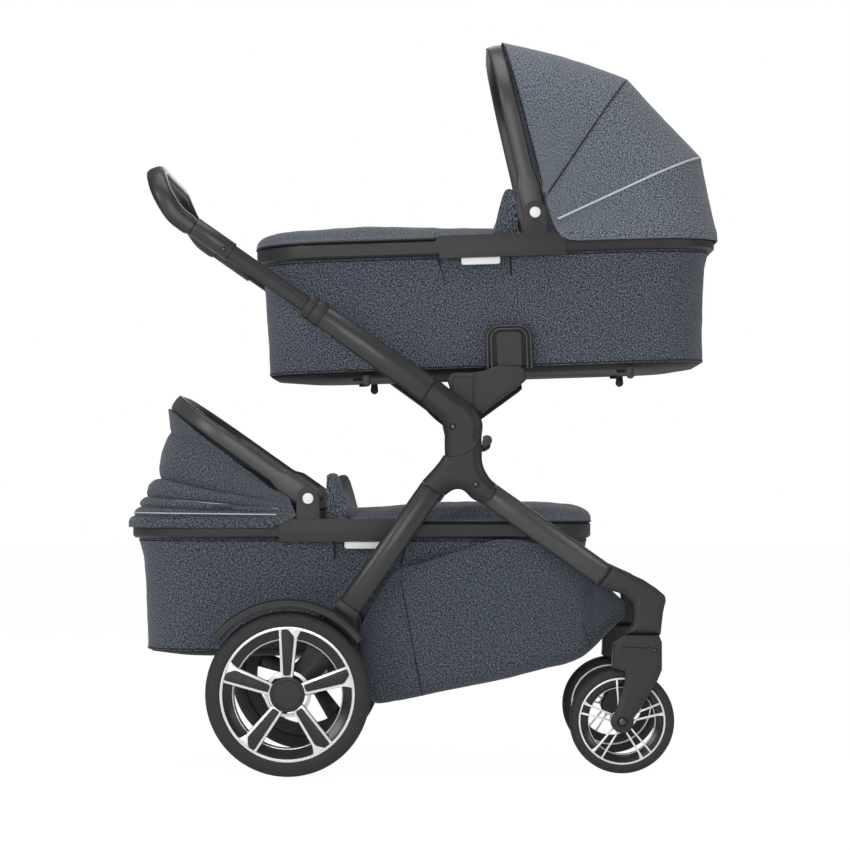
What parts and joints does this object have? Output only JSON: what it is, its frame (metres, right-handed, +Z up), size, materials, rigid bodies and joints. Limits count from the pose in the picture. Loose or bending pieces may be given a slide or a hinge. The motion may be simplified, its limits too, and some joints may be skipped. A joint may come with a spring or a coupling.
{
  "type": "stroller",
  "caption": "Folding twin stroller frame with an upper carrycot facing one way, a lower carrycot facing the other, swivel front wheels, large rear wheels and a fabric basket.",
  "frame": {"origin": "on the floor under the middle of the overall box", "axes": "+X forward, the way the stroller is pushed; +Y to the pusher's left; +Z up"},
  "size_m": [1.0283, 0.589, 1.2724],
  "materials": {
    "charcoal_frame": "satin",
    "charcoal_plastic": "matte",
    "black_plastic": "matte",
    "grip_leatherette": "grained",
    "tyre_rubber": "matte",
    "wheel_rim": "silver edges on black",
    "white_plastic": "matte",
    "slate_fabric": "woven",
    "lining_fabric": "woven"
  },
  "bodies": {
    "chassis": {"joint_casting_left": "charcoal_frame", "joint_casting_right": "charcoal_frame", "rear_leg_left": "charcoal_frame", "rear_leg_right": "charcoal_frame", "rear_fender_left": "black_plastic", "rear_fender_right": "black_plastic", "lower_adapter_left": "charcoal_plastic", "lower_adapter_right": "charcoal_plastic", "rear_axle": "black_plastic", "basket": "slate_fabric"},
    "push_frame": {"arm_casting_left": "charcoal_frame", "arm_casting_right": "charcoal_frame", "arm_tube_left": "charcoal_frame", "arm_tube_right": "charcoal_frame", "upper_adapter_left": "charcoal_plastic", "upper_adapter_right": "charcoal_plastic"},
    "handle": {"handlebar": "grip_leatherette", "handle_tube_left": "charcoal_frame", "handle_tube_right": "charcoal_frame"},
    "front_frame": {"front_leg_left": "charcoal_frame", "front_leg_right": "charcoal_frame", "front_housing_left": "charcoal_plastic", "front_housing_right": "charcoal_plastic", "front_cross_tube": "charcoal_frame"},
    "brake": {"brake_pedal": "black_plastic"},
    "caster_left": {"caster_fork_left": "charcoal_plastic"},
    "front_wheel_left": {"front_rim_left": "wheel_rim", "front_tyre_left": "tyre_rubber"},
    "rear_wheel_left": {"rear_rim_left": "wheel_rim", "rear_tyre_left": "tyre_rubber"},
    "fold_latch_left": {"fold_latch_left": "black_plastic"},
    "caster_right": {"caster_fork_right": "charcoal_plastic"},
    "front_wheel_right": {"front_rim_right": "wheel_rim", "front_tyre_right": "tyre_rubber"},
    "rear_wheel_right": {"rear_rim_right": "wheel_rim", "rear_tyre_right": "tyre_rubber"},
    "fold_latch_right": {"fold_latch_right": "black_plastic"},
    "upper_cot": {"upper_cot_base": "black_plastic", "upper_cot_tub": "slate_fabric", "upper_cot_rim": "charcoal_plastic", "upper_cot_cover": "slate_fabric", "upper_cot_mattress": "lining_fabric", "upper_cot_hood": "slate_fabric"},
    "upper_hood_bow": {"upper_cot_hood_bow": "charcoal_plastic"},
    "upper_hood_button_left": {"upper_cot_hood_button_left": "white_plastic"},
    "upper_release_left": {"upper_cot_release_left": "white_plastic"},
    "upper_hood_button_right": {"upper_cot_hood_button_right": "white_plastic"},
    "upper_release_right": {"upper_cot_release_right": "white_plastic"},
    "lower_cot": {"lower_cot_base": "black_plastic", "lower_cot_tub": "slate_fabric", "lower_cot_rim": "charcoal_plastic", "lower_cot_cover": "slate_fabric", "lower_cot_mattress": "lining_fabric", "lower_cot_hood": "slate_fabric"},
    "lower_hood_bow": {"lower_cot_hood_bow": "charcoal_plastic"},
    "lower_hood_button_left": {"lower_cot_hood_button_left": "white_plastic"},
    "lower_release_left": {"lower_cot_release_left": "white_plastic"},
    "lower_hood_button_right": {"lower_cot_hood_button_right": "white_plastic"},
    "lower_release_right": {"lower_cot_release_right": "white_plastic"}
  },
  "joints": [
    {"name": "frame_fold", "type": "hinge", "parent": "chassis", "child": "push_frame", "pos_m": [0.0535, 0, 0.5933], "axis": [0, 1, 0], "range_deg": [0, 40]},
    {"name": "front_legs_fold", "type": "hinge", "parent": "chassis", "child": "front_frame", "pos_m": [0.0926, 0, 0.4948], "axis": [0, 1, 0], "range_deg": [0, 16], "deforming": ["basket"]},
    {"name": "handle_height", "type": "slide", "parent": "push_frame", "child": "handle", "axis": [-0.8192, 0, 0.5736], "range_m": [-0.09, 0.09]},
    {"name": "brake_press", "type": "hinge", "parent": "chassis", "child": "brake", "pos_m": [-0.2265, 0, 0.14], "axis": [0, -1, 0], "range_deg": [0, 14]},
    {"name": "caster_swivel_left", "type": "hinge", "parent": "front_frame", "child": "caster_left", "pos_m": [0.3756, 0.2, 0.237], "axis": [0, 0, 1], "continuous": true},
    {"name": "front_wheel_spin_left", "type": "hinge", "parent": "caster_left", "child": "front_wheel_left", "pos_m": [0.3423, 0.2, 0.09], "axis": [0, 1, 0], "continuous": true},
    {"name": "rear_wheel_spin_left", "type": "hinge", "parent": "chassis", "child": "rear_wheel_left", "pos_m": [-0.2265, 0.272, 0.14], "axis": [0, 1, 0], "continuous": true},
    {"name": "fold_latch_pull_left", "type": "slide", "parent": "chassis", "child": "fold_latch_left", "axis": [0, 0, 1], "range_m": [0, 0.005], "stiffness_N_per_m": 400},
    {"name": "caster_swivel_right", "type": "hinge", "parent": "front_frame", "child": "caster_right", "pos_m": [0.3756, -0.2, 0.237], "axis": [0, 0, 1], "continuous": true},
    {"name": "front_wheel_spin_right", "type": "hinge", "parent": "caster_right", "child": "front_wheel_right", "pos_m": [0.3423, -0.2, 0.09], "axis": [0, 1, 0], "continuous": true},
    {"name": "rear_wheel_spin_right", "type": "hinge", "parent": "chassis", "child": "rear_wheel_right", "pos_m": [-0.2265, -0.272, 0.14], "axis": [0, 1, 0], "continuous": true},
    {"name": "fold_latch_pull_right", "type": "slide", "parent": "chassis", "child": "fold_latch_right", "axis": [0, 0, 1], "range_m": [0, 0.005], "stiffness_N_per_m": 400},
    {"name": "upper_cot_lift_off", "type": "slide", "parent": "push_frame", "child": "upper_cot", "axis": [-0.0314, 0, 0.9995], "range_m": [0, 0.15]},
    {"name": "upper_hood_fold", "type": "hinge", "parent": "upper_cot", "child": "upper_hood_bow", "pos_m": [0.19435, 0, 0.96271], "axis": [0, 1, 0], "range_deg": [0, 84], "deforming": ["upper_cot_hood"]},
    {"name": "upper_hood_button_press_left", "type": "slide", "parent": "upper_cot", "child": "upper_hood_button_left", "axis": [0, -1, 0], "range_m": [0, 0.003], "stiffness_N_per_m": 500},
    {"name": "upper_release_pull_left", "type": "slide", "parent": "upper_cot", "child": "upper_release_left", "axis": [-0.0314, 0, 0.9995], "range_m": [0, 0.006], "stiffness_N_per_m": 400},
    {"name": "upper_hood_button_press_right", "type": "slide", "parent": "upper_cot", "child": "upper_hood_button_right", "axis": [0, 1, 0], "range_m": [0, 0.003], "stiffness_N_per_m": 500},
    {"name": "upper_release_pull_right", "type": "slide", "parent": "upper_cot", "child": "upper_release_right", "axis": [-0.0314, 0, 0.9995], "range_m": [0, 0.006], "stiffness_N_per_m": 400},
    {"name": "lower_cot_lift_off", "type": "slide", "parent": "chassis", "child": "lower_cot", "axis": [0, 0, 1], "range_m": [0, 0.09]},
    {"name": "lower_hood_fold", "type": "hinge", "parent": "lower_cot", "child": "lower_hood_bow", "pos_m": [-0.1957, 0, 0.471], "axis": [0, 1, 0], "range_deg": [-15, 20], "deforming": ["lower_cot_hood"]},
    {"name": "lower_hood_button_press_left", "type": "slide", "parent": "lower_cot", "child": "lower_hood_button_left", "axis": [0, -1, 0], "range_m": [0, 0.003], "stiffness_N_per_m": 500},
    {"name": "lower_release_pull_left", "type": "slide", "parent": "lower_cot", "child": "lower_release_left", "axis": [0, 0, 1], "range_m": [0, 0.006], "stiffness_N_per_m": 400},
    {"name": "lower_hood_button_press_right", "type": "slide", "parent": "lower_cot", "child": "lower_hood_button_right", "axis": [0, 1, 0], "range_m": [0, 0.003], "stiffness_N_per_m": 500},
    {"name": "lower_release_pull_right", "type": "slide", "parent": "lower_cot", "child": "lower_release_right", "axis": [0, 0, 1], "range_m": [0, 0.006], "stiffness_N_per_m": 400}
  ],
  "couplings": [
    {"joint": "front_legs_fold", "follows": "frame_fold", "ratio": 0.4}
  ]
}
